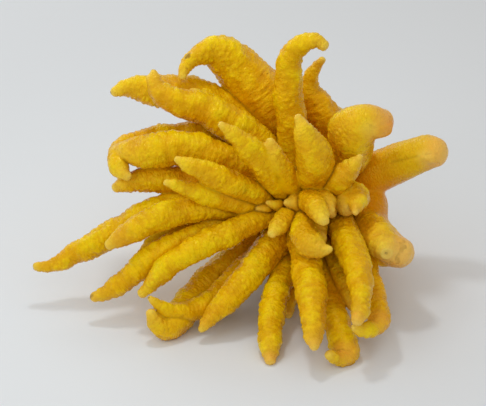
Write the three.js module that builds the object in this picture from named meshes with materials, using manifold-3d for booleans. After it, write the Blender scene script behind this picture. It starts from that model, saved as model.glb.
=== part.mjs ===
// A Buddha's hand citron, Citrus medica var. sarcodactylis, lying on a level surface.
//
// The fruit is one body: a fluted palm that splits at its crown into about forty fingers,
// some straight, some hooked. A short woody stalk with its five-lobed calyx sits in a
// shallow cavity at the other end of the palm. Millimetres, +Z up.
//
// The fingers are set out in the fruit's own frame, before it is laid down:
//   u  to the right across the crown
//   v  up across the crown
//   w  along the axis, from the stalk towards the crown
import * as THREE from "three";
import { mergeVertices } from "three/addons/utils/BufferGeometryUtils.js";
import Module from "manifold-3d";

const wasm = await Module();
wasm.setup();

// How the fruit lies: its axis leans back, so that the crown looks forwards and up.
const crownTilt = THREE.MathUtils.degToRad(27);
const crownHeight = 64.4;
const sideShift = 25.9;
const depthShift = -6;

// The palm, a long egg with its small end at the stalk.
const palmCentre = new THREE.Vector3(14, 1.5, -58);
const palmSize = new THREE.Vector3(40, 34, 46);
const palmTaper = 0.12;
const crownCentre = new THREE.Vector3(11, -1, -26);
const crownSize = new THREE.Vector3(32, 27, 27);

// The ridges that carry the outer fingers down the palm to the stalk.
const ridgeRadius = 11;
const ridgeSink = 0.76; // share of the palm's own radius at which a ridge's middle runs
const ridgeAngles = [160, 138, 114, 94]; // degrees round from the crown's pole

// The stalk and its cavity.
const stalkFoot = -98; // w of the cavity's floor
const cavityRadius = 9;
const calyxRadius = 7.6;
const calyxThickness = 2;
const stalkLength = 13;
const stalkRadius = 3.3;
const fitGap = 0.3;

// The rind's knobs, larger than life, so that they show on flat facets.
const knobHeight = 0.45;
const knobLength = 15;

const ringSpacing = 10.5;

// Every finger from its root to its tip, as stations of [u, v, w, radius].
const heartFingers = [
  [[0.6, -2.4, -16, 3.5], [-4.9, -1.5, 7, 3.2], [-10.6, 0.3, 11, 1.3]],
  [[-6.1, -4.3, -16, 3], [-11.4, -3.3, 7, 2.8], [-16.4, -3.4, 9, 1.4]],
  [[11.8, 0, -22, 6], [7.6, -0.4, 4, 6], [3.6, -0.1, 9, 4.1], [0.5, 0.3, 11, 1.9]],
  [[10, 0, -22, 7], [14.2, 1.2, 12, 6.7], [16.2, -0.8, 23, 6.6], [19, -6, 31, 5.6], [21.3, -10.2, 36, 3.2]],
  [[17.6, 0.6, -22, 7], [22, 1, 12, 6.4], [23.9, -0.2, 20, 5.8], [25.2, -4.2, 25, 3.6]],
  [[24, 0, -18, 5], [26.6, -3.4, 6, 4.6], [27.4, -6.4, 11, 2.8]],
  [[37.9, 1.9, -28, 9], [41, 3.6, 4, 8.9], [41.8, 1.6, 13, 6.9], [41, -2.2, 19, 4.1], [40.3, -5.6, 24, 1.9]],
  [[33, -1, -20, 7.5], [36, -0.6, 8, 7], [37, -2.8, 13, 5]],
  [[6.2, -3.7, -20, 6], [0, -9, 10, 5.9], [-4.6, -13.6, 19, 5.3], [-8.2, -17.8, 24, 2.8]],
  [
    [11.1, -4.3, -20, 6.5], [10, -12.4, 12, 6.4], [11.4, -21, 26, 8.5],
    [16, -25.5, 34, 7.1], [21.4, -26.8, 38, 4.2], [24.5, -26.5, 40, 2],
  ],
  [[17.4, -4.3, -24, 7.5], [18.2, -13.4, 6, 6.8], [20, -20.8, 17, 4.6]],
  [
    [20.9, 5.5, -20, 6], [29.2, 12.2, 8, 7.6], [35.8, 17.7, 16, 7],
    [41, 23.6, 21, 3.8], [43.3, 27, 23, 1.8],
  ],
];

const innerFingers = [
  // up from the heart, broad like a leaf
  [
    [18, 4, -25, 11], [17.5, 14, 2, 9.5], [17.5, 24, 16, 11.2],
    [14.5, 34, 26, 9], [9.3, 43.5, 32, 5.4], [6.6, 49.3, 34, 2.2],
  ],
  // up and to the left, two grown together
  [
    [4.6, 2.5, -28, 8], [-3, 11.4, 1, 9.2], [-12.2, 22.5, 15, 9.2],
    [-22.1, 32.2, 23, 7.3], [-30.8, 39.9, 28, 4.8], [-37.8, 45.3, 31, 2],
  ],
  [
    [5.9, 2.5, -28, 7.5], [1.6, 12.2, 3, 7.6], [-4.8, 22.2, 15, 7.4],
    [-8.4, 30, 20, 6], [-9.2, 36, 22.6, 3.2],
  ],
  // to the left
  [
    [0.2, 0.6, -25, 7], [-16, 4.8, 4, 6.8], [-30.3, 10.9, 16, 7.8],
    [-43.8, 16.4, 23, 7.4], [-54.8, 21.3, 27, 4.9], [-63.5, 25.4, 29, 2],
  ],
  [
    [-2.2, -1.8, -25, 6], [-19.6, -2.4, 2, 5.8], [-33.9, 1.5, 12, 6.4],
    [-47.4, 5.3, 18, 6.1], [-59.6, 8.8, 21, 4.4], [-70.1, 12, 23, 1.9],
  ],
  [
    [-0.9, -0.6, -28, 7.5], [-23.8, -2.4, -4, 7.5], [-44.7, -2.7, 6, 7.4], [-63.6, -4.8, 10, 7.9],
    [-77.2, -9.5, 12, 8.2], [-88.4, -16, 13, 7.6], [-97.8, -21.3, 13, 5.6], [-104.3, -24.6, 13, 2.9],
  ],
  // down and to the left
  [
    [2.7, -4.3, -25, 7], [-13, -9, 2, 6.6], [-30.9, -16.6, 12, 7.8], [-48.6, -24.5, 17, 7.8],
    [-63.9, -33.6, 19, 7.2], [-75.9, -44, 18, 5.9], [-84.8, -53.4, 16, 2.8],
  ],
  [
    [2.8, -9.3, -30, 9], [-7, -25.2, -2, 9], [-18.5, -38.7, 8, 8.6], [-29.1, -50.8, 15, 7.8],
    [-39.1, -61.8, 19, 6.1], [-46.7, -69.9, 21, 4], [-49.6, -73.9, 22, 2],
  ],
  // down
  [
    [9, -5.6, -30, 9], [10.3, -21, 2, 9], [12, -35.3, 20, 9], [13.8, -51.4, 38, 9.1],
    [14.8, -65.6, 49, 7.6], [15, -76, 55, 5.2], [14.8, -80.8, 57.7, 2.5],
  ],
  [
    [28.7, -3.1, -40, 9], [32.6, -10.5, -14, 9], [34.9, -17.6, 7, 9], [37.8, -27, 23, 9.2],
    [40.8, -38.7, 38, 7.9], [41.7, -50.7, 50, 6.6], [40.3, -61, 58, 5.3], [38.6, -65.9, 61, 3.2],
  ],
  // the fore part of the lower right finger, pointing forwards
  [
    [42.5, -6.2, -36, 10], [50.6, -14.4, -8, 9.6], [54.8, -20.8, 8, 10.2],
    [57.6, -24.4, 14.5, 9.2], [58.9, -26.7, 18, 7.9],
  ],
];

// The ones behind, which spring straight from the palm's shoulder.
const middleFingers = [
  // up: the tall hook, and the swollen root beside the spike
  [
    [10.4, 8, -35, 13], [8.7, 29.4, -22, 11], [4.1, 50.3, -10, 9.7], [1.8, 67.9, -2, 8.9],
    [1.8, 80.8, 3, 7.9], [5.2, 90.7, 8, 6.8], [11.8, 95.2, 12, 5.1], [18.2, 95.5, 14, 4.6],
    [22.3, 92.8, 15, 3.2],
  ],
  [[27, 33.2, -45, 12], [32.4, 49.3, -40, 8.5], [32.9, 56, -38, 5.5]],
  // to the left
  [
    [1, 17.3, -30, 12], [-17, 35.6, -20, 11.5], [-34.1, 49.8, -12, 11], [-50.9, 57.6, -7, 10],
    [-61.5, 60.2, -4, 9], [-70.5, 63.4, -2, 7.9], [-76.6, 68.4, -1, 6.4], [-78.6, 74.6, -1, 4.4],
    [-79, 79, -1, 2],
  ],
  [
    [-5.2, 8.1, -34, 10], [-29.3, 21.3, -14, 10], [-46.7, 29.6, -6, 10.4], [-62.3, 33.1, -2, 10.4],
    [-76.4, 31.6, 0, 10.4], [-85.8, 30.9, 0, 9.8], [-93.6, 31.8, 0, 7.2], [-98.8, 32.6, -1, 4.2], [-101.9, 32.2, -2, 2.4],
  ],
  [
    [-3.2, 3.1, -38, 8.5], [-31.7, 9.2, -22, 8], [-54.2, 13.1, -13, 8.2], [-73.4, 14.4, -9, 8.4],
    [-87.2, 14, -7, 7], [-96.6, 11.6, -6, 5.3], [-101.9, 9.2, -5, 3],
  ],
  [
    [-0.9, -2.5, -32, 8], [-26.8, -9.1, -8, 7], [-47.8, -16.8, 1, 7], [-66.7, -25, 6, 7.4],
    [-80.1, -33.2, 8, 7.7], [-90.4, -42.1, 8, 7], [-100.7, -50, 7, 5.7], [-108.6, -54.5, 6, 4.4],
    [-114.1, -56.2, 6, 2.6],
  ],
  // the horn
  [
    [-5.3, -22.8, -25, 8], [-22, -37.5, -8, 7.5], [-35.8, -51, 1, 7], [-48.8, -60.8, 9, 6.6],
    [-58.9, -64.2, 15, 6], [-68.2, -63.4, 20, 4.7], [-75.1, -59, 24, 2.9], [-79.4, -55.3, 27, 1.3],
  ],
  // down
  [
    [5.4, -19.8, -34, 9], [1, -38.1, -8, 8], [-4.8, -52.9, 10, 7.8], [-8.6, -66.2, 22, 7.7],
    [-9.6, -77.7, 31, 6.9], [-9.7, -86, 37, 5], [-9.5, -90.3, 40, 3.2],
  ],
];

// The hindmost ones, each of them a ridge of the palm from the stalk up to its shoulder.
const outerFingers = [
  // up: the spike
  [
    [26.6, 23.9, -48, 12], [28.7, 45.6, -40, 11.5], [22.7, 58.4, -33, 9.9], [16.4, 69.7, -28, 6.2],
    [16.7, 78, -24, 4.3], [20, 84, -20, 3.3], [23.2, 87.4, -17, 2.3],
  ],
  // up and to the left: the thick beak, and the one beneath it
  [
    [7.8, 23.9, -50, 15], [-5, 54.4, -42, 16.6], [-20.3, 74.9, -33.5, 16.2], [-33.8, 88.2, -25, 13.2],
    [-40, 92.2, -20.5, 11.2], [-46.5, 92.6, -16, 8.3], [-53.2, 89.3, -10, 5.8], [-58.3, 84.6, -6.5, 4.3],
    [-61.1, 79.3, -4, 3.3], [-61.6, 76.2, -3, 2.3],
  ],
  [
    [-1.8, 23.8, -46, 12], [-21.9, 46.7, -37, 11], [-38, 58.5, -29, 10.8], [-52, 65.5, -22.5, 10.6],
    [-65, 68.4, -18.5, 10.2], [-77, 68.8, -15, 9.7], [-87, 69.4, -12.5, 8.1], [-96, 69.6, -10.5, 5.4],
    [-103, 67.4, -8.5, 2.7],
  ],
  // to the left: the one that curls round its neighbour's tip, and the longest
  [
    [-4.9, 13.2, -46, 11], [-28.1, 31, -36, 10], [-49.7, 40.8, -28, 9.4], [-71, 41.2, -23, 7.4],
    [-87.2, 39, -18, 6.4], [-97.8, 33.9, -11, 6.3], [-100.5, 25.9, -3, 6.6], [-98.1, 19.2, 2, 5],
    [-94, 15.8, 5, 2.4],
  ],
  [
    [-0.7, 1.2, -40, 9], [-28.1, 1.8, -24, 8.5], [-52.4, 0.6, -14, 8.2], [-73.4, -3, -9, 8.2],
    [-89.6, -10.3, -7, 8.4], [-104.1, -18.7, -7, 8.4], [-116.2, -25.4, -7, 7.8],
    [-126.6, -30.9, -8, 6.6], [-136.3, -36, -8, 5], [-144.2, -38.4, -8, 3.5], [-150.2, -38.4, -8, 2.4],
  ],
  // down and to the left
  [
    [-0.9, 0.6, -42, 8], [-26.8, -4.9, -22, 7.5], [-48.1, -12.1, -12, 7.2], [-65.5, -18.7, -7, 6.8],
    [-79.3, -26.5, -5, 5.6], [-88.8, -34.3, -4, 2.6],
  ],
  // the curled finger that the fruit stands on
  [
    [-3.2, -16, -38, 9], [-27, -32, -24, 8.5], [-45.5, -46, -12, 8.6], [-57.6, -59.4, 2, 8.6],
    [-65.6, -70.8, 15, 8.5], [-71.8, -73, 19, 6.9], [-77, -69.1, 24, 4.8], [-78.9, -64.2, 26, 2.8],
  ],
  // down
  [[10.5, -21.8, -38, 9], [5, -42.2, -20, 7.5], [2.2, -56.1, -6, 6.5], [1.9, -66.3, 4, 3]],
  [
    [17.8, -18, -34, 10], [21.6, -37.5, -8, 8.5], [25.4, -54.5, 12, 7.5], [29.2, -69.4, 28, 7.6],
    [32.8, -80.4, 35, 8.2], [34.8, -86.9, 38, 6.8], [29.3, -88.6, 44, 4.2], [23.4, -86, 50, 2.4],
  ],
  [
    [27.8, -11.8, -35, 9], [30, -28.4, -8, 8], [33.3, -42.9, 8, 6.8], [36.9, -54.2, 18, 5],
    [38.9, -61, 23, 2.5],
  ],
  // down and to the right, hooked at its end
  [
    [38.5, -9.3, -38, 11], [43.7, -25.5, -14, 9.5], [48.1, -42.8, 10, 8], [51.4, -57.6, 30, 7.2],
    [53, -67.4, 40, 6.8], [48.2, -71.8, 46, 4.8], [42.3, -72.1, 50, 3.8], [38, -70.4, 53, 2.2],
  ],
  // to the right, blunt
  [
    [35.5, 4, -46, 14], [51.6, 0, -36, 13], [52.6, -13.4, -21, 11.7], [60, -25.8, 0, 11.8],
    [68.4, -29.6, 11, 9],
  ],
  [
    [32.5, 8.1, -42, 14], [49, 15.5, -36, 13.5], [64.6, 22.2, -30, 12.6], [79.6, 28.3, -25, 11.6],
    [89.4, 31.3, -22, 10.6], [92.8, 31.2, -20, 9.4],
  ],
  // up and to the right, blunt
  [
    [39.4, 15.6, -40, 14], [39.6, 31.6, -14, 14], [41.5, 44, 0.6, 14.4], [49.8, 48.4, 3, 11.4],
    [58.3, 48.7, -2, 8.2],
  ],
];

// The folded tips of the three blunt fingers, lying back against them.
const foldedTips = [
  [[60, 46.2, 1, 6.4], [53, 43.6, 8.4, 5.4], [46, 42.4, 11.4, 3]],
  [[93, 28.6, -17, 5], [88, 27.8, -13.4, 3.8], [82.5, 28.4, -14.2, 1.8]],
];

// A finger turned straight on a lathe, then bent along its stations.
function finger(stations, seed) {
  const centres = stations.map(([u, v, w]) => new THREE.Vector3(u, v, w));
  const path = new THREE.CatmullRomCurve3(centres, false, "centripetal");
  const radii = new THREE.SplineCurve(stations.map(([, , , r], i) => new THREE.Vector2(i, r)));

  // One ring at each station, and more between stations that are far apart.
  const places = [0];
  for (let i = 1; i < stations.length; i++) {
    const steps = Math.max(1, Math.round(centres[i].distanceTo(centres[i - 1]) / ringSpacing));
    for (let k = 1; k <= steps; k++) {
      places.push((i - 1 + k / steps) / (stations.length - 1));
    }
  }
  const middles = places.map((place) => path.getPoint(place));
  const tangents = places.map((place) => path.getTangent(place));
  const normals = carriedAlong(tangents);

  // The straight finger, one millimetre long per ring.
  const widest = Math.max(...stations.map((station) => station[3]));
  const sides = widest > 11 ? 10 : widest > 6.2 ? 8 : 7;
  const fullness = Math.sqrt((2 * Math.PI) / sides / Math.sin((2 * Math.PI) / sides));
  const last = places.length - 1;
  const tipRadius = stations.at(-1)[3];
  const profile = [
    [0, 0],
    ...places.map((place, i) => [fullness * radii.getPoint(place).y, i]),
    [tipRadius * 0.62, last + tipRadius * 0.55],
    [0, last + tipRadius * 0.75],
  ];
  const straight = new THREE.LatheGeometry(profile.map(([x, y]) => new THREE.Vector2(x, y)), sides);

  const position = straight.getAttribute("position");
  const point = new THREE.Vector3();
  const binormal = new THREE.Vector3();
  let travelled = 0;
  const distances = middles.map((middle, i) => {
    travelled += i ? middle.distanceTo(middles[i - 1]) : 0;
    return travelled;
  });
  for (let i = 0; i < position.count; i++) {
    const [x, y, z] = [position.getX(i), position.getY(i), position.getZ(i)];
    const ring = Math.min(Math.round(y), last);
    const beyond = y > last ? y - last : 0;
    const knob = 1 + knobAt(distances[ring], Math.atan2(z, x), seed) / widest;
    binormal.crossVectors(tangents[ring], normals[ring]);
    point.copy(middles[ring]);
    point.addScaledVector(tangents[ring], beyond);
    point.addScaledVector(binormal, x * knob);
    point.addScaledVector(normals[ring], z * knob);
    position.setXYZ(i, point.x, point.y, point.z);
  }
  return solid(straight);
}

// A normal at each tangent of a path, carried from one to the next without twisting.
function carriedAlong(tangents) {
  let normal = new THREE.Vector3(0.2, 0.3, 1);
  return tangents.map((tangent) => {
    normal = normal.clone().projectOnPlane(tangent).normalize();
    return normal;
  });
}

// The height of the rind's knobs at a distance along a finger and an angle round it.
function knobAt(distance, angle, seed) {
  const wave = (2 * Math.PI * distance) / knobLength;
  return knobHeight * Math.sin(wave + 2 * Math.sin(2 * angle + seed)) * Math.cos(3 * angle + seed);
}

// An outer finger runs back from its root as a ridge down the palm.
function withRidge(stations) {
  const [u, v] = stations[1];
  const round = Math.atan2((v - palmCentre.y) / palmSize.y, (u - palmCentre.x) / palmSize.x);
  const ridge = ridgeAngles.map((degrees) => {
    const polar = THREE.MathUtils.degToRad(degrees);
    return [
      palmCentre.x + ridgeSink * palmSize.x * Math.sin(polar) * Math.cos(round),
      palmCentre.y + ridgeSink * palmSize.y * Math.sin(polar) * Math.sin(round),
      palmCentre.z + palmSize.z * Math.cos(polar),
      ridgeRadius * Math.sin(polar) ** 0.5,
    ];
  });
  return [...ridge, ...stations.slice(1)];
}

// A closed geometry as a manifold-3d solid.
function solid(geometry) {
  geometry.deleteAttribute("normal");
  geometry.deleteAttribute("uv");
  const merged = mergeVertices(geometry, 1e-4);
  const index = merged.index.array;
  const triVerts = [];
  for (let i = 0; i < index.length; i += 3) {
    const [a, b, c] = [index[i], index[i + 1], index[i + 2]];
    if (a !== b && b !== c && c !== a) triVerts.push(a, b, c);
  }
  const made = new wasm.Manifold(
    new wasm.Mesh({
      numProp: 3,
      vertProperties: merged.attributes.position.array,
      triVerts: new Uint32Array(triVerts),
    }),
  );
  return made;
}

// A manifold-3d solid as a geometry.
function geometryOf(made) {
  const mesh = made.getMesh();
  return new THREE.BufferGeometry()
    .setAttribute("position", new THREE.BufferAttribute(mesh.vertProperties, 3))
    .setIndex(new THREE.BufferAttribute(mesh.triVerts, 1));
}

// Everything on the fruit's own axes is laid down by this matrix.
const laidDown = new THREE.Matrix4()
  .makeTranslation(sideShift, depthShift, crownHeight)
  .multiply(new THREE.Matrix4().makeRotationX(Math.PI / 2 - crownTilt));

// An egg with its poles on the axis, for the palm and for the swelling under its crown.
function egg(centre, size, taper) {
  const ball = new THREE.SphereGeometry(1, 20, 12);
  ball.rotateX(Math.PI / 2);
  const position = ball.getAttribute("position");
  for (let i = 0; i < position.count; i++) {
    const swell = 1 + taper * position.getZ(i);
    position.setX(i, position.getX(i) * swell);
    position.setY(i, position.getY(i) * swell);
  }
  ball.scale(size.x, size.y, size.z);
  ball.translate(centre.x, centre.y, centre.z);
  return solid(ball);
}

// A cylinder along the palm's axis, from one w to another.
function rodAlongAxis(radius, from, to, sides) {
  const rod = new THREE.CylinderGeometry(radius, radius, to - from, sides);
  rod.rotateX(Math.PI / 2);
  rod.translate(palmCentre.x, palmCentre.y, (from + to) / 2);
  return solid(rod);
}

function fruit() {
  const grown = [
    ...heartFingers,
    ...innerFingers,
    ...middleFingers,
    ...outerFingers.map(withRidge),
    ...foldedTips,
  ].map((stations, i) => finger(stations, i));
  const palm = egg(palmCentre, palmSize, palmTaper).add(egg(crownCentre, crownSize, 0));
  const whole = wasm.Manifold.union([palm, ...grown]);
  const cavity = rodAlongAxis(cavityRadius, stalkFoot - 40, stalkFoot, 24);
  const above = new THREE.BoxGeometry(600, 600, 400);
  above.translate(0, 0, 200);
  return whole.subtract(cavity).transform(laidDown.elements).intersect(solid(above));
}

// The calyx, a thin star with five round lobes, and the woody stub that was cut from the twig.
function stalk() {
  const star = new THREE.Shape();
  const points = 40;
  for (let i = 0; i <= points; i++) {
    const angle = (i / points) * 2 * Math.PI;
    const reach = calyxRadius * (0.84 + 0.16 * Math.cos(5 * angle));
    star[i ? "lineTo" : "moveTo"](reach * Math.cos(angle), reach * Math.sin(angle));
  }
  const calyx = new THREE.ExtrudeGeometry(star, { depth: calyxThickness, bevelEnabled: false });
  calyx.translate(palmCentre.x, palmCentre.y, stalkFoot - fitGap - calyxThickness);
  const stub = new THREE.LatheGeometry(
    [
      [0, 0], [stalkRadius * 1.5, 0], [stalkRadius * 1.1, 3.5], [stalkRadius, 7],
      [stalkRadius * 1.08, stalkLength - 1], [stalkRadius * 0.9, stalkLength], [0, stalkLength],
    ].map(([x, y]) => new THREE.Vector2(x, y)),
    16,
  );
  stub.rotateX(-Math.PI / 2);
  stub.translate(palmCentre.x, palmCentre.y, stalkFoot - fitGap - calyxThickness / 2);
  return solid(calyx).add(solid(stub)).transform(laidDown.elements);
}

const rind = new THREE.MeshStandardMaterial({ color: 0xdfa80c, roughness: 0.42, metalness: 0 });
const wood = new THREE.MeshStandardMaterial({ color: 0x6b6a3a, roughness: 0.85, metalness: 0 });

function named(name, made, material) {
  const mesh = new THREE.Mesh(geometryOf(made), material);
  mesh.name = name;
  return mesh;
}

const citron = new THREE.Group();
citron.add(named("fruit", fruit(), rind));
citron.add(named("stalk", stalk(), wood));

export default citron;
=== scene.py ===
import math

import bpy
import numpy as np
from mathutils import Matrix, Vector, noise


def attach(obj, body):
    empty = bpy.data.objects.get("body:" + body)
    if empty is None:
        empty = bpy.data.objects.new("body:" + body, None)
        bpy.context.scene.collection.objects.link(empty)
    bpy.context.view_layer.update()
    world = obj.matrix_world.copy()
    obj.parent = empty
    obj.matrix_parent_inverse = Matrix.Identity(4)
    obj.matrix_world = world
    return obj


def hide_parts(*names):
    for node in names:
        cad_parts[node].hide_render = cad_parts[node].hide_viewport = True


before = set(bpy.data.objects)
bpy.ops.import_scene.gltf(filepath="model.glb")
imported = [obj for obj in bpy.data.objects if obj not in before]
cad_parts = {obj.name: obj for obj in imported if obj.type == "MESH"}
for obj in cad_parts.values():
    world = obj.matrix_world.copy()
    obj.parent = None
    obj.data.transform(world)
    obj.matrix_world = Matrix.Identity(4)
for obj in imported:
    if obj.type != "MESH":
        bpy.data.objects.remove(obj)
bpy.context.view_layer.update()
print("frame loaded:", ", ".join(sorted(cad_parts)))

mm = 0.001

# How the fruit lies: u to the right across its crown, v up across it, w along its axis.
lying = {"crownTilt": 27.0, "sideShift": 25.9, "depthShift": -6.0, "crownHeight": 64.4}
toFloor = (
    Matrix.Translation((lying["sideShift"], lying["depthShift"], lying["crownHeight"]))
    @ Matrix.Rotation(math.radians(90 - lying["crownTilt"]), 4, "X")
)
toFloorTurn = np.array(toFloor.to_3x3())
toFloorShift = np.array(toFloor.translation)


def laidDown(points):  # fruit's own millimetres to the room's metres
    return (np.asarray(points, float) @ toFloorTurn.T + toFloorShift) * mm


def stoodUp(points):  # and back again
    return (np.asarray(points, float) / mm - toFloorShift) @ toFloorTurn


def deselectAll():
    bpy.ops.object.select_all(action="DESELECT")


def makeActive(piece):
    deselectAll()
    piece.select_set(True)
    bpy.context.view_layer.objects.active = piece


def applyModifier(piece, kind, **settings):
    makeActive(piece)
    modifier = piece.modifiers.new(kind.title(), kind)
    for name, value in settings.items():
        setattr(modifier, name, value)
    bpy.ops.object.modifier_apply(modifier=modifier.name)


def pointsOf(piece, what="co"):
    values = np.zeros(len(piece.data.vertices) * 3, np.float32)
    source = piece.data.vertices if what == "co" else piece.data.vertex_normals
    source.foreach_get("co" if what == "co" else "vector", values)
    return values.reshape(-1, 3).astype(float)


def movePoints(piece, points):
    piece.data.vertices.foreach_set("co", np.asarray(points, np.float32).ravel())
    piece.data.update()


def mergeInto(first, others, name):
    deselectAll()
    for piece in others:
        piece.select_set(True)
    first.select_set(True)
    bpy.context.view_layer.objects.active = first
    bpy.ops.object.join()
    first.name = name
    first.data.name = name
    return first


camera = {"aimU": -25.2, "aimV": 0.0, "distance": 900.0, "lens": 111.1}


def addCamera():
    place = laidDown([[camera["aimU"], camera["aimV"], camera["distance"]]])[0]
    deselectAll()
    bpy.ops.object.camera_add(
        location=place, rotation=(math.radians(90 - lying["crownTilt"]), 0, 0)
    )
    eye = bpy.context.object
    eye.name = "camera"
    eye.data.lens = camera["lens"]
    eye.data.sensor_width = 36
    bpy.context.scene.camera = eye
    print("camera set")


palm = {
    "centre": (14, 1.5, -58),
    "size": (40, 34, 46),
    "taper": 0.12,
    "crownCentre": (11, -1, -26),
    "crownSize": (32, 27, 27),
    "ridgeRadius": 11,
    "ridgeSink": 0.76,
    "ridgeAngles": (160, 138, 114, 94),
    "heart": (14, 0, 0),
    "cavityFloor": -98,
    "cavityRadius": 9,
}

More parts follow.
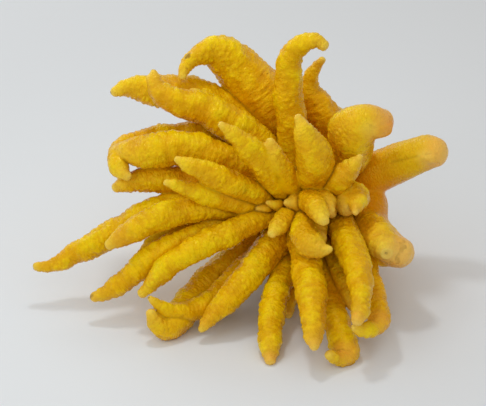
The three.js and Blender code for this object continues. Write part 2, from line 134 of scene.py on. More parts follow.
# Every finger from its root to its tip, in stations of (u, v, w, radius).
fingers = {
    "heart": [
        [(0.6, -2.4, -16, 3.5), (-4.9, -1.5, 7, 3.2), (-10.6, 0.3, 11, 1.3)],
        [(-6.1, -4.3, -16, 3), (-11.4, -3.3, 7, 2.8), (-16.4, -3.4, 9, 1.4)],
        [(11.8, 0, -22, 6), (7.6, -0.4, 4, 6), (3.6, -0.1, 9, 4.1), (0.5, 0.3, 11, 1.9)],
        [
            (10, 0, -22, 7), (14.2, 1.2, 12, 6.7), (16.2, -0.8, 23, 6.6), (19, -6, 31, 5.6),
            (21.3, -10.2, 36, 3.2),
        ],
        [(17.6, 0.6, -22, 7), (22, 1, 12, 6.4), (23.9, -0.2, 20, 5.8), (25.2, -4.2, 25, 3.6)],
        [(24, 0, -18, 5), (26.6, -3.4, 6, 4.6), (27.4, -6.4, 11, 2.8)],
        [
            (37.9, 1.9, -28, 9), (41, 3.6, 4, 8.9), (41.8, 1.6, 13, 6.9), (41, -2.2, 19, 4.1),
            (40.3, -5.6, 24, 1.9),
        ],
        [(33, -1, -20, 7.5), (36, -0.6, 8, 7), (37, -2.8, 13, 5)],
        [(6.2, -3.7, -20, 6), (0, -9, 10, 5.9), (-4.6, -13.6, 19, 5.3), (-8.2, -17.8, 24, 2.8)],
        [
            (11.1, -4.3, -20, 6.5), (10, -12.4, 12, 6.4), (11.4, -21, 26, 8.5),
            (16, -25.5, 34, 7.1), (21.4, -26.8, 38, 4.2), (24.5, -26.5, 40, 2),
        ],
        [(17.4, -4.3, -24, 7.5), (18.2, -13.4, 6, 6.8), (20, -20.8, 17, 4.6)],
        [
            (20.9, 5.5, -20, 6), (29.2, 12.2, 8, 7.6), (35.8, 17.7, 16, 7),
            (41, 23.6, 21, 3.8), (43.3, 27, 23, 1.8),
        ],
    ],
    "inner": [
        # up from the heart, broad like a leaf
        [
            (18, 4, -25, 11), (17.5, 14, 2, 9.5), (17.5, 24, 16, 11.2),
            (14.5, 34, 26, 9), (9.3, 43.5, 32, 5.4), (6.6, 49.3, 34, 2.2),
        ],
        # up and to the left, two grown together
        [
            (4.6, 2.5, -28, 8), (-3, 11.4, 1, 9.2), (-12.2, 22.5, 15, 9.2),
            (-22.1, 32.2, 23, 7.3), (-30.8, 39.9, 28, 4.8), (-37.8, 45.3, 31, 2),
        ],
        [
            (5.9, 2.5, -28, 7.5), (1.6, 12.2, 3, 7.6), (-4.8, 22.2, 15, 7.4),
            (-8.4, 30, 20, 6), (-9.2, 36, 22.6, 3.2),
        ],
        # to the left
        [
            (0.2, 0.6, -25, 7), (-16, 4.8, 4, 6.8), (-30.3, 10.9, 16, 7.8),
            (-43.8, 16.4, 23, 7.4), (-54.8, 21.3, 27, 4.9), (-63.5, 25.4, 29, 2),
        ],
        [
            (-2.2, -1.8, -25, 6), (-19.6, -2.4, 2, 5.8), (-33.9, 1.5, 12, 6.4),
            (-47.4, 5.3, 18, 6.1), (-59.6, 8.8, 21, 4.4), (-70.1, 12, 23, 1.9),
        ],
        [
            (-0.9, -0.6, -28, 7.5), (-23.8, -2.4, -4, 7.5), (-44.7, -2.7, 6, 7.4), (-63.6, -4.8, 10, 7.9),
            (-77.2, -9.5, 12, 8.2), (-88.4, -16, 13, 7.6), (-97.8, -21.3, 13, 5.6), (-104.3, -24.6, 13, 2.9),
        ],
        # down and to the left
        [
            (2.7, -4.3, -25, 7), (-13, -9, 2, 6.6), (-30.9, -16.6, 12, 7.8), (-48.6, -24.5, 17, 7.8),
            (-63.9, -33.6, 19, 7.2), (-75.9, -44, 18, 5.9), (-84.8, -53.4, 16, 2.8),
        ],
        [
            (2.8, -9.3, -30, 9), (-7, -25.2, -2, 9), (-18.5, -38.7, 8, 8.6), (-29.1, -50.8, 15, 7.8),
            (-39.1, -61.8, 19, 6.1), (-46.7, -69.9, 21, 4), (-49.6, -73.9, 22, 2),
        ],
        # down
        [
            (9, -5.6, -30, 9), (10.3, -21, 2, 9), (12, -35.3, 20, 9), (13.8, -51.4, 38, 9.1),
            (14.8, -65.6, 49, 7.6), (15, -76, 55, 5.2), (14.8, -80.8, 57.7, 2.5),
        ],
        [
            (28.7, -3.1, -40, 9), (32.6, -10.5, -14, 9), (34.9, -17.6, 7, 9), (37.8, -27, 23, 9.2),
            (40.8, -38.7, 38, 7.9), (41.7, -50.7, 50, 6.6), (40.3, -61, 58, 5.3), (38.6, -65.9, 61, 3.2),
        ],
        # the fore part of the lower right finger, pointing forwards
        [
            (42.5, -6.2, -36, 10), (50.6, -14.4, -8, 9.6), (54.8, -20.8, 8, 10.2),
            (57.6, -24.4, 14.5, 9.2), (58.9, -26.7, 18, 7.9),
        ],
    ],
    "middle": [
        # up: the tall hook, and the swollen root beside the spike
        [
            (10.4, 8, -35, 13), (8.7, 29.4, -22, 11), (4.1, 50.3, -10, 9.7), (1.8, 67.9, -2, 8.9),
            (1.8, 80.8, 3, 7.9), (5.2, 90.7, 8, 6.8), (11.8, 95.2, 12, 5.1), (18.2, 95.5, 14, 4.6),
            (22.3, 92.8, 15, 3.2),
        ],
        [(27, 33.2, -45, 12), (32.4, 49.3, -40, 8.5), (32.9, 56, -38, 5.5)],
        # to the left
        [
            (1, 17.3, -30, 12), (-17, 35.6, -20, 11.5), (-34.1, 49.8, -12, 11), (-50.9, 57.6, -7, 10),
            (-61.5, 60.2, -4, 9), (-70.5, 63.4, -2, 7.9), (-76.6, 68.4, -1, 6.4), (-78.6, 74.6, -1, 4.4),
            (-79, 79, -1, 2),
        ],
        [
            (-5.2, 8.1, -34, 10), (-29.3, 21.3, -14, 10), (-46.7, 29.6, -6, 10.4), (-62.3, 33.1, -2, 10.4),
            (-76.4, 31.6, 0, 10.4), (-85.8, 30.9, 0, 9.8), (-93.6, 31.8, 0, 7.2),
            (-98.8, 32.6, -1, 4.2), (-101.9, 32.2, -2, 2.4),
        ],
        [
            (-3.2, 3.1, -38, 8.5), (-31.7, 9.2, -22, 8), (-54.2, 13.1, -13, 8.2), (-73.4, 14.4, -9, 8.4),
            (-87.2, 14, -7, 7), (-96.6, 11.6, -6, 5.3), (-101.9, 9.2, -5, 3),
        ],
        [
            (-0.9, -2.5, -32, 8), (-26.8, -9.1, -8, 7), (-47.8, -16.8, 1, 7), (-66.7, -25, 6, 7.4),
            (-80.1, -33.2, 8, 7.7), (-90.4, -42.1, 8, 7), (-100.7, -50, 7, 5.7), (-108.6, -54.5, 6, 4.4),
            (-114.1, -56.2, 6, 2.6),
        ],
        # the horn
        [
            (-5.3, -22.8, -25, 8), (-22, -37.5, -8, 7.5), (-35.8, -51, 1, 7), (-48.8, -60.8, 9, 6.6),
            (-58.9, -64.2, 15, 6), (-68.2, -63.4, 20, 4.7), (-75.1, -59, 24, 2.9), (-79.4, -55.3, 27, 1.3),
        ],
        # down
        [
            (5.4, -19.8, -34, 9), (1, -38.1, -8, 8), (-4.8, -52.9, 10, 7.8), (-8.6, -66.2, 22, 7.7),
            (-9.6, -77.7, 31, 6.9), (-9.7, -86, 37, 5), (-9.5, -90.3, 40, 3.2),
        ],
    ],
    "outer": [
        # up: the spike
        [
            (26.6, 23.9, -48, 12), (28.7, 45.6, -40, 11.5), (22.7, 58.4, -33, 9.9), (16.4, 69.7, -28, 6.2),
            (16.7, 78, -24, 4.3), (20, 84, -20, 3.3), (23.2, 87.4, -17, 2.3),
        ],
        # up and to the left: the thick beak, and the one beneath it
        [
            (7.8, 23.9, -50, 15), (-5, 54.4, -42, 16.6), (-20.3, 74.9, -33.5, 16.2), (-33.8, 88.2, -25, 13.2),
            (-40, 92.2, -20.5, 11.2), (-46.5, 92.6, -16, 8.3),
            (-53.2, 89.3, -10, 5.8), (-58.3, 84.6, -6.5, 4.3),
            (-61.1, 79.3, -4, 3.3), (-61.6, 76.2, -3, 2.3),
        ],
        [
            (-1.8, 23.8, -46, 12), (-21.9, 46.7, -37, 11), (-38, 58.5, -29, 10.8), (-52, 65.5, -22.5, 10.6),
            (-65, 68.4, -18.5, 10.2), (-77, 68.8, -15, 9.7), (-87, 69.4, -12.5, 8.1), (-96, 69.6, -10.5, 5.4),
            (-103, 67.4, -8.5, 2.7),
        ],
        # to the left: the one that curls round its neighbour's tip, and the longest
        [
            (-4.9, 13.2, -46, 11), (-28.1, 31, -36, 10), (-49.7, 40.8, -28, 9.4), (-71, 41.2, -23, 7.4),
            (-87.2, 39, -18, 6.4), (-97.8, 33.9, -11, 6.3), (-100.5, 25.9, -3, 6.6), (-98.1, 19.2, 2, 5),
            (-94, 15.8, 5, 2.4),
        ],
        [
            (-0.7, 1.2, -40, 9), (-28.1, 1.8, -24, 8.5), (-52.4, 0.6, -14, 8.2), (-73.4, -3, -9, 8.2),
            (-89.6, -10.3, -7, 8.4), (-104.1, -18.7, -7, 8.4), (-116.2, -25.4, -7, 7.8),
            (-126.6, -30.9, -8, 6.6), (-136.3, -36, -8, 5),
            (-144.2, -38.4, -8, 3.5), (-150.2, -38.4, -8, 2.4),
        ],
        # down and to the left
        [
            (-0.9, 0.6, -42, 8), (-26.8, -4.9, -22, 7.5), (-48.1, -12.1, -12, 7.2), (-65.5, -18.7, -7, 6.8),
            (-79.3, -26.5, -5, 5.6), (-88.8, -34.3, -4, 2.6),
        ],
        # the curled finger, one of three that the fruit stands on
        [
            (-3.2, -16, -38, 9), (-27, -32, -24, 8.5), (-45.5, -46, -12, 8.6), (-57.6, -59.4, 2, 8.6),
            (-65.6, -70.8, 15, 8.5), (-71.8, -73, 19, 6.9), (-77, -69.1, 24, 4.8), (-78.9, -64.2, 26, 2.8),
        ],
        # down
        [(10.5, -21.8, -38, 9), (5, -42.2, -20, 7.5), (2.2, -56.1, -6, 6.5), (1.9, -66.3, 4, 3)],
        [
            (17.8, -18, -34, 10), (21.6, -37.5, -8, 8.5), (25.4, -54.5, 12, 7.5), (29.2, -69.4, 28, 7.6),
            (32.8, -80.4, 35, 8.2), (34.8, -86.9, 38, 6.8), (29.3, -88.6, 44, 4.2), (23.4, -86, 50, 2.4),
        ],
        [
            (27.8, -11.8, -35, 9), (30, -28.4, -8, 8), (33.3, -42.9, 8, 6.8), (36.9, -54.2, 18, 5),
            (38.9, -61, 23, 2.5),
        ],
        # down and to the right, hooked at its end
        [
            (38.5, -9.3, -38, 11), (43.7, -25.5, -14, 9.5), (48.1, -42.8, 10, 8), (51.4, -57.6, 30, 7.2),
            (53, -67.4, 40, 6.8), (48.2, -71.8, 46, 4.8), (42.3, -72.1, 50, 3.8), (38, -70.4, 53, 2.2),
        ],
        # to the right, blunt
        [
            (35.5, 4, -46, 14), (51.6, 0, -36, 13), (52.6, -13.4, -21, 11.7), (60, -25.8, 0, 11.8),
            (68.4, -29.6, 11, 9),
        ],
        [
            (32.5, 8.1, -42, 14), (49, 15.5, -36, 13.5), (64.6, 22.2, -30, 12.6), (79.6, 28.3, -25, 11.6),
            (89.4, 31.3, -22, 10.6), (92.8, 31.2, -20, 9.4),
        ],
        # up and to the right, blunt
        [
            (39.4, 15.6, -40, 14), (39.6, 31.6, -14, 14), (41.5, 44, 0.6, 14.4), (49.8, 48.4, 3, 11.4),
            (58.3, 48.7, -2, 8.2),
        ],
    ],
    "folded": [
        [(60, 46.2, 1, 6.4), (53, 43.6, 8.4, 5.4), (46, 42.4, 11.4, 3)],
        [(93, 28.6, -17, 5), (88, 27.8, -13.4, 3.8), (82.5, 28.4, -14.2, 1.8)],
    ],
}

rind = {
    "pathStep": 2.0,  # millimetres between the points of a finger's middle line
    "voxel": 0.8,
    "smoothing": 2,
    "fullness": 0.35,  # how far the skin stands out from the bent rods
    "lumpPitch": (9.0, 12.0), "lumpHeight": 1.4,  # along the finger and round it
    "wartPitch": (3.1, 3.9), "wartHeight": 0.85,
    "wrinklePitch": (2.0, 6.0), "wrinkleHeight": 0.55,
    "cleftWidth": 0.8, "cleftDepth": 1.1,  # the folds where two fingers meet, darkened with painted shade
    "valleyWidth": 2.8,  # the strip of painted shade on each side of such a fold
    "openWidth": 1.8,  # nearer to its neighbour than this, a finger's relief fades
    "furrowWidth": 3.6, "furrowDepth": 1.5,  # the soft ones down the palm
    "furrowStart": -42, "furrowBlend": 20,  # where along w they take over from the folds and their painted shade
    "triangles": 196000,
}

# Places on the rind as (u, v, w, reach, strength): blunt ends flushed orange,
flushes = [
    (61, 47, 2, 18, 1), (100, 30, -17, 19, 1), (71, -31, 18, 16, 1), (74, -29, 8, 18, 1),
    (34, -86, 42, 9, 0.5), (52, -68, 44, 9, 0.5), (-10, 80, -36, 20, 0.25),
    (14, -80, 57, 6, 0.4), (39, -65, 60, 6, 0.6), (-10, -90, 40, 6, 0.5),
]
# riper, more orange parts,
ripes = [
    (46, 6, -42, 42, 1), (58, 11, -34, 24, 1), (54, -8, -24, 22, 1), (28, 52, -36, 28, 0.4),
    (4, 62, -42, 34, 0.4), (-10, 68, -28, 26, 0.35), (52, -52, 24, 20, 0.5),
    (26, -55, 14, 16, 0.6), (0, -52, -8, 16, 0.5), (-64, -80, 12, 12, 0.6),
    (-52, 32, -26, 24, 0.4), (-56, 14, -14, 20, 0.4),
]
# paler knobs, partly a painted highlight on the folded tips,
palesAndHighlights = [(87, 27, -12, 8, 0.9), (49, 44, 12, 8, 0.6)]
# smooth stretches without warts,
smooths = [
    (78, 25, -16, 26, 1), (58, 8, -22, 24, 1), (64, -8, -18, 18, 1), (70, -26, 4, 16, 0.8),
    (52, 47, 8, 20, 0.7),
]
# lobes that grew together, so that no fold and no painted shade parts them,
welds = [
    (65, -27, 12, 23), (54, -14, -6, 15), (70, -22, 0, 15), (52, 46, 8, 24), (60, 48, 4, 20),
    (88, 28, -14, 24), (-3, 27, 18, 15), (2, 14, 10, 13), (-9, 35, 20, 9), (21, 3, 18, 10),
    (38, 1, 10, 11), (17, -16, 18, 10), (-101, 30, 0, 8), (-76, 70, -2, 14),
    (60, 5, -27, 13), (58, -3, -18, 12),
]
# flesh that fills the saddle between two such lobes,
fills = [[(57.6, -24.6, 13, 8.4), (62, -27, 13, 9), (67.6, -29.4, 12, 9)]]
# brown scars and dried tips,
scars = [
    (-58.8, 88.4, -4, 3.6), (-59.4, 81.2, 0.5, 2.2), (-79.2, 81.2, -1.5, 2.6),
    (-115.2, -55.6, 7, 3.0), (-152, -38.4, -8, 3.2), (-106.2, 66.6, -8, 2.2),
    (-80.4, -54.6, 28, 1.6), (-102, 10, -4, 1.6),
]
# and one small dried dimple, the scar of the flower's style.
dimple = (58.8, -30.2, 24, 4.2)

# A fine folded line along the blunt finger whose tip lies back against it, sunk into the rind and darkened a
# little with painted shade.
fold = [(66.2, 25.0, -16.7), (71, 26.3, -15.4), (76.5, 27.4, -14.2), (82, 28.6, -13.4)]


def smoothPath(stations):  # the same curve through the stations as the solid's, finely stepped
    rows = np.array(stations, float)
    points = np.vstack([2 * rows[0] - rows[1], rows, 2 * rows[-1] - rows[-2]])[:, :3]
    radii = rows[:, 3]
    radii = np.concatenate([radii[:1], radii, radii[-1:]])
    out = []
    for i in range(len(rows) - 1):
        a, b, c, d = points[i:i + 4]
        ab, bc, cd = (np.linalg.norm(q - p) ** 0.5 for p, q in ((a, b), (b, c), (c, d)))
        leave = ((b - a) / ab - (c - a) / (ab + bc) + (c - b) / bc) * bc
        arrive = ((c - b) / bc - (d - b) / (bc + cd) + (d - c) / cd) * bc
        r0, r1, r2, r3 = radii[i:i + 4]
        steps = max(2, round(np.linalg.norm(c - b) / rind["pathStep"]))
        for t in np.arange(steps) / steps if i < len(rows) - 2 else np.arange(steps + 1) / steps:
            place = (
                b + leave * t + (3 * (c - b) - 2 * leave - arrive) * t ** 2
                + (2 * (b - c) + leave + arrive) * t ** 3
            )
            m0, m1 = (r2 - r0) / 2, (r3 - r1) / 2
            radius = (
                r1 + m0 * t + (3 * (r2 - r1) - 2 * m0 - m1) * t ** 2
                + (2 * (r1 - r2) + m0 + m1) * t ** 3
            )
            out.append((*place, radius))
    return np.array(out)


def withRidge(stations):  # an outer finger runs back down the palm as a ridge
    centre, size = np.array(palm["centre"], float), np.array(palm["size"], float)
    across = (np.array(stations[1][:2]) - centre[:2]) / size[:2]
    across /= np.linalg.norm(across)
    ridge = []
    for degrees in palm["ridgeAngles"]:
        polar = math.radians(degrees)
        u, v = centre[:2] + palm["ridgeSink"] * size[:2] * math.sin(polar) * across
        ridge.append((u, v, centre[2] + size[2] * math.cos(polar),
                      palm["ridgeRadius"] * math.sin(polar) ** 0.5))
    return ridge + list(stations[1:])


def roundedTip(path):  # ends a path in a blunt round tip
    last, before = path[-1], path[-2]
    ahead = (last - before)[:3] / np.linalg.norm((last - before)[:3])
    tip = [
        (*(last[:3] + ahead * last[3] * 0.8 * math.sin(math.radians(turn))),
         last[3] * math.cos(math.radians(turn)))
        for turn in (22, 42, 60, 75, 86)
    ]
    return np.vstack([path, tip])


def fingerPaths():
    paths = []
    for group, members in fingers.items():
        for stations in members:
            row = withRidge(stations) if group == "outer" else stations
            paths.append(roundedTip(smoothPath(row)))
    return paths


def bentFingers(paths):  # every finger as one round-bevelled curve, made solid
    deselectAll()
    bpy.ops.curve.primitive_bezier_curve_add(location=(0, 0, 0))
    curve = bpy.context.object
    curve.data.splines.clear()
    for path in paths:
        spline = curve.data.splines.new("POLY")
        spline.points.add(len(path) - 1)
        places = laidDown(path[:, :3])
        spline.points.foreach_set("co", np.c_[places, np.ones(len(path))].ravel())
        spline.points.foreach_set("radius", path[:, 3] * mm)
    curve.data.dimensions = "3D"
    curve.data.bevel_depth = 1.0
    curve.data.bevel_resolution = 4
    curve.data.use_fill_caps = True
    makeActive(curve)
    bpy.ops.object.convert(target="MESH")
    return bpy.context.object


def egg(centre, size, taper):
    deselectAll()
    bpy.ops.mesh.primitive_uv_sphere_add(segments=48, ring_count=32, radius=1)
    ball = bpy.context.object
    shape = pointsOf(ball)
    shape[:, :2] *= 1 + taper * shape[:, 2:]
    movePoints(ball, laidDown(shape * np.array(size) + np.array(centre)))
    return ball


class Axes:  # the middle lines of all the fingers, and where a point lies along and round them
    def __init__(self, paths):
        places, ahead, side, run, toTip, owner = [], [], [], [], [], []
        for number, path in enumerate(paths):
            step = np.gradient(path[:, :3], axis=0)
            step /= np.linalg.norm(step, axis=1)[:, None]
            lengths = np.r_[0, np.cumsum(np.linalg.norm(np.diff(path[:, :3], axis=0), axis=1))]
            across = np.array([0.2, 0.3, 1.0])
            for row in step:
                across = across - row * (across @ row)
                across /= np.linalg.norm(across)
                side.append(across)
            places.append(path)
            ahead.append(step)
            run.append(lengths)
            toTip.append(lengths[-1] - lengths)
            owner.append(np.full(len(path), number))
        self.places = np.vstack(places)
        self.ahead = np.vstack(ahead)
        self.side = np.array(side)
        self.run = np.concatenate(run)
        self.toTip = np.concatenate(toTip)
        self.owner = np.concatenate(owner)

    def locate(self, points):  # points in the fruit's own millimetres
        middles = self.places[:, :3].astype(np.float32)
        firsts = np.flatnonzero(np.r_[True, np.diff(self.owner) > 0])
        best, gap, above = [], [], []
        for start in range(0, len(points), 8000):
            some = points[start:start + 8000].astype(np.float32)
            apart = (some ** 2).sum(1)[:, None] + (middles ** 2).sum(1) - 2 * some @ middles.T
            apart = np.sqrt(np.maximum(apart, 0)) - self.places[:, 3].astype(np.float32)
            best.append(apart.argmin(1))
            nearest = np.sort(np.minimum.reduceat(apart, firsts, axis=1), axis=1)
            gap.append(nearest[:, 1] - nearest[:, 0])
            above.append(nearest[:, 0])
        near = np.concatenate(best)
        offset = points - self.places[near, :3]
        ahead, side = self.ahead[near], self.side[near]
        slip = (offset * ahead).sum(1)
        offset = offset - slip[:, None] * ahead
        ringwise = np.c_[
            self.run[near] + slip, (offset * side).sum(1), (offset * np.cross(ahead, side)).sum(1)
        ]
        crown = np.clip((np.concatenate(above) - 0.6) / 1.5, 0, 1) * (points[:, 2] > -14)
        gap = np.concatenate(gap)
        inmost = np.linalg.norm(points - np.array(palm["heart"]), axis=1)
        # where two fingers meet, and deep in the heart: sunk into the rind, and darkened with painted shade
        # in the material
        cleftWithShade = np.maximum(np.exp(-(gap / rind["cleftWidth"]) ** 2), crown)
        parting = 1 - np.clip(1.6 * nearSpots(points, welds), 0, 1)
        parting *= np.clip(1.3 - inmost / 65, 0.35, 1)
        onPalm = np.clip((rind["furrowStart"] - points[:, 2]) / rind["furrowBlend"], 0, 1)
        furrow = onPalm * np.exp(-(gap / rind["furrowWidth"]) ** 2)
        return {
            "ringwise": ringwise, "seed": self.owner[near] * 7.31,
            "toTip": self.toTip[near] - slip, "radius": self.places[near, 3],
            "cleftWithShade": cleftWithShade * parting * (1 - 0.93 * onPalm), "furrow": furrow,
            # painted shade beside the folds and along the palm's furrows
            "valleyShade": np.maximum(np.exp(-(gap / rind["valleyWidth"]) ** 2) * parting, 0.55 * furrow),
            "open": 1 - np.exp(-(gap / rind["openWidth"]) ** 2),
        }


def nearSpots(points, spots):  # 1 at a spot, falling to 0 at its reach
    near = np.zeros(len(points))
    for u, v, w, reach, *strength in spots:
        apart = np.linalg.norm(points - np.array([u, v, w]), axis=1) / reach
        near = np.maximum(near, np.clip(1 - apart ** 2, 0, 1) * (strength or [1])[0])
    return near


def nearFold(points):  # 1 on the folded line, falling to 0 beside it
    near = np.zeros(len(points))
    for a, b in zip(np.array(fold[:-1], float), np.array(fold[1:], float)):
        share = np.clip(((points - a) @ (b - a)) / ((b - a) @ (b - a)), 0, 1)
        apart = np.linalg.norm(points - a - share[:, None] * (b - a), axis=1)
        near = np.maximum(near, np.exp(-(apart / 0.9) ** 2))
    return near


def sample(rows, pitch, shift):  # smooth noise over a finger, at a pitch along and round it
    along, across = pitch
    return np.array([
        noise.noise((a / along, b / across + s * shift, c / across)) for a, b, c, s in rows
    ])


def cobbles(rows, pitch):  # rounded warts with narrow valleys between them
    along, across = pitch
    out = []
    for a, b, c, s in rows:
        reach = noise.voronoi((a / along + s, b / across, c / across))[0]
        out.append(reach[1] - reach[0])
    return np.minimum(np.array(out) * 2.2, 1)


def relief(points, at):  # height of the warts and wrinkles, in millimetres
    rows = list(zip(*at["ringwise"].T, at["seed"]))
    wart, crease = cobbles(rows, rind["wartPitch"]), sample(rows, rind["wrinklePitch"], 1.0)
    swell, mood = sample(rows, rind["lumpPitch"], 1.7), sample(rows, (34, 40), 3.1)
    wrinkled = np.clip(0.5 + 1.6 * mood, 0, 1)  # some stretches wrinkle, the others are warty
    fine = rind["wartHeight"] * (wart - 0.55) * (1 - 0.6 * wrinkled)
    fine += rind["wrinkleHeight"] * crease * (0.6 + 0.9 * wrinkled)
    calm = np.clip(0.3 + at["toTip"] / 9, 0, 1) * np.clip(0.5 + at["radius"] / 14, 0, 1)
    calm *= (1 - 0.8 * nearSpots(points, flushes)) * at["open"]
    calm *= 1 - 0.85 * np.clip(1.5 * nearSpots(points, smooths), 0, 1)
    return (fine + rind["lumpHeight"] * swell) * calm


def largestBody(piece, name):  # drops the closed pockets left inside where fingers press together
    makeActive(piece)
    bpy.ops.object.mode_set(mode="EDIT")
    bpy.ops.mesh.select_all(action="SELECT")
    bpy.ops.mesh.separate(type="LOOSE")
    bpy.ops.object.mode_set(mode="OBJECT")
    bodies = sorted(bpy.context.selected_objects, key=lambda one: len(one.data.vertices))
    kept = bodies.pop()
    deselectAll()
    for body in bodies:
        body.select_set(True)
    bpy.ops.object.delete()
    print("pockets dropped:", len(bodies))
    makeActive(kept)
    kept.name = kept.data.name = name
    return kept


def addFruit():
    paths = fingerPaths()
    fruit = bentFingers(paths + [roundedTip(smoothPath(row)) for row in fills])
    eggs = [
        egg(palm["centre"], palm["size"], palm["taper"]),
        egg(palm["crownCentre"], palm["crownSize"], 0),
    ]
    mergeInto(fruit, eggs, "citronRind")
    fruit.data.materials.clear()
    applyModifier(fruit, "REMESH", mode="VOXEL", voxel_size=rind["voxel"] * mm, adaptivity=0.0)
    fruit = largestBody(fruit, "citronRind")
    applyModifier(fruit, "SMOOTH", factor=0.5, iterations=rind["smoothing"])
    print("fruit grown:", len(fruit.data.vertices), "points")

    own = stoodUp(pointsOf(fruit))
    merged = fruit.vertex_groups.new(name="merged")
    share = np.clip(1.8 * nearSpots(own, welds), 0, 1)
    for i in np.flatnonzero(share > 0.02):
        merged.add([int(i)], float(share[i]), "REPLACE")
    applyModifier(fruit, "SMOOTH", factor=0.6, iterations=26, vertex_group="merged")
    own = stoodUp(pointsOf(fruit))
    reach = np.hypot(own[:, 0] - palm["centre"][0], own[:, 1] - palm["centre"][1])
    wall = (reach / palm["cavityRadius"]) ** 8 * 10
    bottom = palm["cavityFloor"] - wall
    sunk = (reach < palm["cavityRadius"] * 1.3) & (own[:, 2] < palm["centre"][2])
    own[sunk, 2] = np.maximum(own[sunk, 2], bottom[sunk])
    movePoints(fruit, laidDown(own))

    nearest = np.linalg.norm(own - np.array(dimple[:3]), axis=1).argmin()
    dried = (*own[nearest], dimple[3])  # the dimple, set on the skin
    axes = Axes(paths)
    at = axes.locate(own)
    height = relief(own, at) + rind["fullness"]
    height -= rind["cleftDepth"] * at["cleftWithShade"] + rind["furrowDepth"] * at["furrow"]
    height -= 0.5 * nearFold(own)
    dip = nearSpots(own, [dried])
    height += 0.5 * np.minimum(2.5 * dip, 1) - 1.6 * np.clip(2.5 * dip - 1.4, 0, 1)
    raised = pointsOf(fruit) + pointsOf(fruit, "normal") * (height * mm)[:, None]
    movePoints(fruit, raised)
    print("rind wrinkled")

    applyModifier(fruit, "DECIMATE", ratio=rind["triangles"] / (2 * len(fruit.data.polygons)))
    final = pointsOf(fruit)
    final[:, 2] = np.maximum(final[:, 2], 0.0)  # flat spots where it lies on the floor
    movePoints(fruit, final)
    own = stoodUp(final)
    at = axes.locate(own)
    shade = np.clip(0.5 - 0.6 * (pointsOf(fruit, "normal") @ np.array([0.0, -0.42, 0.9])), 0, 1)
    fields = {
        # paler towards the tips, with a painted highlight on the folded tips
        "tip": np.maximum(
            np.exp(-np.maximum(at["toTip"], 0) / (0.6 * at["radius"] + 1)), nearSpots(own, palesAndHighlights)
        ),
        "flush": nearSpots(own, flushes),
        "ripe": nearSpots(own, ripes),
        "scar": nearSpots(own, scars),
        "dimple": nearSpots(own, [dried]),
        "cleftWithShade": np.maximum(at["cleftWithShade"], 0.3 * nearFold(own)),
        "valleyShade": at["valleyShade"], "open": at["open"],
        "shade": shade,
        # painted shade: darker in the hollows between the warts
        "hollowShade": np.clip(0.45 - relief(own, at), 0, 1),
    }
    for name, values in fields.items():
        layer = fruit.data.attributes.new(name, "FLOAT", "POINT")
        layer.data.foreach_set("value", values.astype(np.float32))
    layer = fruit.data.attributes.new("ringwise", "FLOAT_VECTOR", "POINT")
    at["ringwise"][:, 0] += at["seed"]
    layer.data.foreach_set("vector", at["ringwise"].astype(np.float32).ravel())
    makeActive(fruit)
    bpy.ops.object.shade_smooth()
    fruit.data.materials.append(rindMaterial())
    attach(fruit, "root")
    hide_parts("fruit")
    print("fruit finished:", len(fruit.data.polygons), "faces")


class Nodes:  # a short way to lay out a material's nodes
    def __init__(self, name):
        self.material = bpy.data.materials.new(name)
        self.material.use_nodes = True
        self.tree = self.material.node_tree
        self.shader = self.tree.nodes["Principled BSDF"]

    def add(self, kind, **settings):
        node = self.tree.nodes.new(kind)
        for key, value in settings.items():
            if key in node.inputs:
                self.join(value, node.inputs[key])
            else:
                setattr(node, key, value)
        return node

    def join(self, value, socket):
        if isinstance(value, bpy.types.NodeSocket):
            self.tree.links.new(value, socket)
        else:
            socket.default_value = value

    def field(self, name, output="Fac"):
        return self.add("ShaderNodeAttribute", attribute_name=name).outputs[output]

    def ramp(self, value, low, high):
        node = self.add("ShaderNodeMapRange", Value=value)
        node.inputs["From Min"].default_value = low
        node.inputs["From Max"].default_value = high
        return node.outputs["Result"]

    def maths(self, operation, a, b=0.0):
        node = self.add("ShaderNodeMath", operation=operation)
        self.join(a, node.inputs[0])
        self.join(b, node.inputs[1])
        return node.outputs[0]

    def blend(self, share, first, second):
        node = self.add("ShaderNodeMix", data_type="RGBA")
        self.join(share, node.inputs[0])
        self.join(first, node.inputs[6])
        self.join(second, node.inputs[7])
        return node.outputs[2]


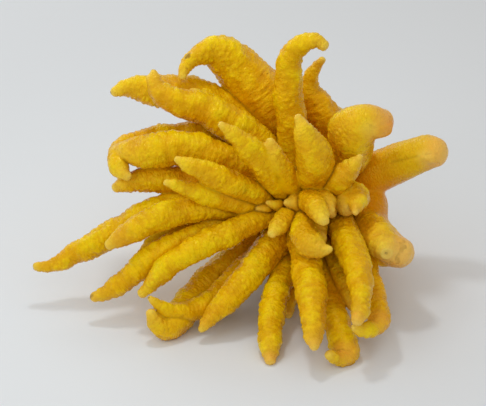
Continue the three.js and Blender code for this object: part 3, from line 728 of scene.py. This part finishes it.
def rindMaterial():
    look = Nodes("citronRind")
    place = look.add("ShaderNodeTexCoord").outputs["Object"]
    ringwise = look.field("ringwise", "Vector")
    yellow, golden = (0.91, 0.62, 0.001, 1), (0.88, 0.50, 0.001, 1)
    lemon, pale = (0.93, 0.72, 0.006, 1), (0.92, 0.72, 0.17, 1)
    orange, flushed = (0.82, 0.29, 0.001, 1), (0.92, 0.37, 0.07, 1)
    # amber and deep stand for painted shade on turned-down sides, in hollows and in valleys; deep also
    # colours the fine darker pores
    amber, deepShadeAndPores = (0.80, 0.37, 0.001, 1), (0.66, 0.28, 0.001, 1)
    crease, brown = (0.13, 0.04, 0.002, 1), (0.20, 0.08, 0.015, 1)

    def clouds(scale, detail, low, high):
        texture = look.add("ShaderNodeTexNoise", Vector=place, Scale=scale, Detail=detail)
        return look.ramp(texture.outputs["Fac"], low, high)

    def tint(colour, share, strength, towards):
        return look.blend(look.maths("MULTIPLY", share, strength), colour, towards)

    colour = look.blend(clouds(34.0, 3.0, 0.38, 0.58), golden, yellow)
    colour = tint(colour, clouds(90.0, 2.0, 0.5, 0.7), 0.6, lemon)
    colour = tint(colour, look.ramp(look.field("shade"), 0.35, 1.0), 0.6, amber)
    colour = tint(colour, look.field("ripe"), 1.0, orange)
    # painted shade in the hollows between the warts
    colour = tint(colour, look.field("hollowShade"), 0.6, deepShadeAndPores)
    colour = tint(colour, clouds(620.0, 2.0, 0.5, 0.75), 0.35, deepShadeAndPores)
    colour = tint(colour, look.field("flush"), 0.95, flushed)
    # paler tips, and a painted highlight on the folded tips
    colour = tint(colour, look.field("tip"), 0.5, pale)
    # painted shade on each side of the folds and in the palm's furrows
    colour = tint(colour, look.field("valleyShade"), 0.5, deepShadeAndPores)
    # painted shade: the folds where fingers meet darkened towards crease brown
    colour = tint(colour, look.field("cleftWithShade"), 0.9, crease)
    speckled = look.maths("MULTIPLY", clouds(420.0, 3.0, 0.3, 0.7), 0.8)
    dried = look.ramp(look.maths("ADD", look.field("scar"), speckled), 0.75, 1.25)
    colour = tint(colour, dried, 0.75, brown)
    colour = tint(colour, look.ramp(look.field("dimple"), 0.0, 0.5), 0.7, (0.92, 0.70, 0.16, 1))
    colour = tint(colour, look.ramp(look.field("dimple"), 0.86, 0.95), 0.9, (0.20, 0.12, 0.05, 1))
    look.join(colour, look.shader.inputs["Base Color"])

    sheen = look.maths("MULTIPLY", clouds(160.0, 2.0, 0.3, 0.7), 0.16)
    look.join(look.maths("ADD", sheen, 0.2), look.shader.inputs["Roughness"])
    look.shader.inputs["Subsurface Weight"].default_value = 0.08
    look.shader.inputs["Subsurface Radius"].default_value = (1.0, 0.5, 0.1)
    look.shader.inputs["Subsurface Scale"].default_value = 0.003
    look.shader.inputs["IOR"].default_value = 1.45
    look.shader.inputs["Specular IOR Level"].default_value = 0.55
    look.shader.inputs["Specular Tint"].default_value = (1.0, 0.79, 0.16, 1)

    rings = look.add("ShaderNodeMapping", Vector=ringwise)
    rings.inputs["Scale"].default_value = (0.75, 0.28, 0.28)
    wrinkles = look.add(
        "ShaderNodeTexNoise", Vector=rings.outputs["Vector"], Scale=1.0, Detail=3.0,
        Distortion=0.4,
    )
    glands = look.add("ShaderNodeTexVoronoi", Vector=place, Scale=850.0)
    bumps = look.maths(
        "ADD", look.maths("MULTIPLY", wrinkles.outputs["Fac"], 1.2),
        look.maths("MULTIPLY", glands.outputs["Distance"], 0.35),
    )
    bumps = look.maths("MULTIPLY", look.maths("SUBTRACT", bumps, 0.76), look.field("open"))
    bump = look.add("ShaderNodeBump", Strength=0.8, Distance=0.0008, Height=bumps)
    look.join(bump.outputs["Normal"], look.shader.inputs["Normal"])
    return look.material


stalk = {
    "foot": -98.3, "calyxReach": 7.6, "voxel": 0.22,
    # the woody stub, from the calyx to its cut end: (radius, w)
    "stub": [
        (5.6, -98.6), (5.2, -99.8), (4.1, -101.6), (3.5, -104.5), (3.25, -107.5), (3.35, -110.2),
        (3.65, -111.4), (3.4, -112.1), (2.7, -112.35), (1.2, -112.25), (0.6, -112.45),
    ],
}


def lathed(profile, turn):  # a closed solid round the fruit's axis; turn gives each point's place
    steps = 72
    rows = np.array(profile, float)
    angles = np.arange(steps) / steps * 2 * math.pi
    points = [turn(0.0, rows[0][1], 0.0)]
    points += [turn(r, w, a) for r, w in rows for a in angles]
    points.append(turn(0.0, rows[-1][1], 0.0))
    last = len(points) - 1
    faces = [(0, 1 + (i + 1) % steps, 1 + i) for i in range(steps)]
    for j in range(len(rows) - 1):
        a, b = 1 + j * steps, 1 + (j + 1) * steps
        faces += [(a + i, a + (i + 1) % steps, b + (i + 1) % steps, b + i) for i in range(steps)]
    faces += [(last, last - steps + i, last - steps + (i + 1) % steps) for i in range(steps)]
    shape = bpy.data.meshes.new("lathed")
    shape.from_pydata(laidDown(points).tolist(), [], faces)
    piece = bpy.data.objects.new("lathed", shape)
    bpy.context.scene.collection.objects.link(piece)
    makeActive(piece)
    bpy.ops.object.mode_set(mode="EDIT")
    bpy.ops.mesh.select_all(action="SELECT")
    bpy.ops.mesh.normals_make_consistent(inside=False)
    bpy.ops.object.mode_set(mode="OBJECT")
    return piece


def addStalk():
    middle = palm["centre"][:2]

    def barked(r, w, angle):
        rib = 1 + 0.07 * math.cos(7 * angle + w * 0.12) + 0.05 * noise.noise((angle * 2, w * 0.4, 3))
        return (middle[0] + r * rib * math.cos(angle), middle[1] + r * rib * math.sin(angle), w)

    def lobed(r, w, angle):
        lobe = 0.5 + 0.5 * math.cos(5 * angle)
        reach = r * (0.72 + 0.28 * lobe ** 0.6)
        droop = 1.5 * (reach / stalk["calyxReach"]) ** 3 * lobe
        return (middle[0] + reach * math.cos(angle), middle[1] + reach * math.sin(angle), w - droop)

    rows = np.array(stalk["stub"], float)
    spots = np.linspace(0, len(rows) - 1, 48)
    stub = [(np.interp(t, range(len(rows)), rows[:, 0]), np.interp(t, range(len(rows)), rows[:, 1]))
            for t in spots]
    reach, foot = stalk["calyxReach"], stalk["foot"]
    calyx = [
        (reach * 0.35, foot), (reach * 0.7, foot - 0.05), (reach * 0.93, foot - 0.15),
        (reach, foot - 0.6), (reach * 0.95, foot - 1.1), (reach * 0.7, foot - 1.5),
        (reach * 0.4, foot - 2.0),
    ]
    piece = mergeInto(lathed(stub, barked), [lathed(calyx, lobed)], "citronStalk")
    applyModifier(piece, "REMESH", mode="VOXEL", voxel_size=stalk["voxel"] * mm, adaptivity=0.0)
    applyModifier(piece, "SMOOTH", factor=0.5, iterations=2)
    own = stoodUp(pointsOf(piece))
    grain = np.array([noise.noise((a * 1.6, b * 1.6, c * 0.5)) for a, b, c in own])
    movePoints(piece, pointsOf(piece) + pointsOf(piece, "normal") * (grain * 0.16 * mm)[:, None])
    fromAxis = np.hypot(own[:, 0] - middle[0], own[:, 1] - middle[1])
    fields = {
        "cut": (own[:, 2] < -111.7) * np.clip((3.2 - fromAxis) / 0.5, 0, 1),
        "rings": fromAxis,
        "green": np.clip((own[:, 2] + 101.2) / 1.2, 0, 1),
    }
    for name, values in fields.items():
        layer = piece.data.attributes.new(name, "FLOAT", "POINT")
        layer.data.foreach_set("value", values.astype(np.float32))
    makeActive(piece)
    bpy.ops.object.shade_smooth()
    piece.data.materials.clear()
    piece.data.materials.append(barkMaterial())
    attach(piece, "root")
    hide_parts("stalk")
    print("stalk finished:", len(piece.data.polygons), "faces")


def barkMaterial():
    look = Nodes("stalkBark")
    place = look.add("ShaderNodeTexCoord").outputs["Object"]
    grain = look.add("ShaderNodeTexNoise", Vector=place, Scale=900.0, Detail=4.0)
    patches = look.add("ShaderNodeTexNoise", Vector=place, Scale=260.0, Detail=2.0)
    colour = look.blend(
        look.ramp(patches.outputs["Fac"], 0.35, 0.65), (0.20, 0.15, 0.07, 1), (0.30, 0.26, 0.13, 1)
    )
    colour = look.blend(look.maths("MULTIPLY", look.field("green"), 0.8), colour,
                        (0.22, 0.25, 0.06, 1))
    colour = look.blend(look.ramp(grain.outputs["Fac"], 0.55, 0.75), colour, (0.10, 0.07, 0.035, 1))
    growth = look.maths("SINE", look.maths("MULTIPLY", look.field("rings"), 11.0))
    wood = look.blend(look.ramp(growth, -1.0, 1.0), (0.46, 0.34, 0.19, 1), (0.60, 0.48, 0.29, 1))
    colour = look.blend(look.field("cut"), colour, wood)
    look.join(colour, look.shader.inputs["Base Color"])
    look.shader.inputs["Roughness"].default_value = 0.8
    look.shader.inputs["Specular IOR Level"].default_value = 0.25
    bump = look.add(
        "ShaderNodeBump", Strength=0.6, Distance=0.0003, Height=grain.outputs["Fac"]
    )
    look.join(bump.outputs["Normal"], look.shader.inputs["Normal"])
    return look.material


room = {
    "floorSize": 8.0, "floorColour": (0.785, 0.82, 0.87, 1),
    "skyColour": (1.0, 0.95, 0.88, 1), "skyStrength": 0.6, "lampColour": (0.92, 0.98, 1.0),
}

# Each lamp: place, disk size in metres, power in watts; all of them face the fruit.
lamps = {
    "overhead": ((-0.055, 0.035, 0.5), 0.07, 0.40),
    "left": ((-1.0, -0.3, 1.0), 0.6, 0.85),
    "leftFront": ((-0.6, -0.6, 0.5), 0.4, 1.1),
    "leftBack": ((-0.7, 0.8, 0.6), 0.4, 1.2),
    "front": ((0.0, -0.7, 0.6), 0.4, 0.6),
    "back": ((-0.3, 1.2, 0.8), 0.5, 1.15),
}


def addRoom():
    deselectAll()
    bpy.ops.mesh.primitive_plane_add(size=room["floorSize"], location=(0, 0, 0))
    floor = bpy.context.object
    floor.name = "floor"
    look = Nodes("paleFloor")
    look.shader.inputs["Base Color"].default_value = room["floorColour"]
    look.shader.inputs["Roughness"].default_value = 0.85
    look.shader.inputs["Specular IOR Level"].default_value = 0.1
    floor.data.materials.append(look.material)

    world = bpy.data.worlds.new("studio")
    bpy.context.scene.world = world
    world.use_nodes = True
    sky = world.node_tree.nodes["Background"]
    sky.inputs["Color"].default_value = room["skyColour"]
    sky.inputs["Strength"].default_value = room["skyStrength"]

    for name, (place, size, power) in lamps.items():
        deselectAll()
        turn = (Vector((0, 0, 0.03)) - Vector(place)).to_track_quat("-Z", "Y").to_euler()
        bpy.ops.object.light_add(type="AREA", location=place, rotation=turn)
        lamp = bpy.context.object
        lamp.name = name
        lamp.data.shape = "DISK"
        lamp.data.size = size
        lamp.data.energy = power
        lamp.data.color = room["lampColour"]
    bpy.context.scene.view_settings.view_transform = "Standard"
    print("room lit")


addCamera()
addFruit()
addStalk()
addRoom()
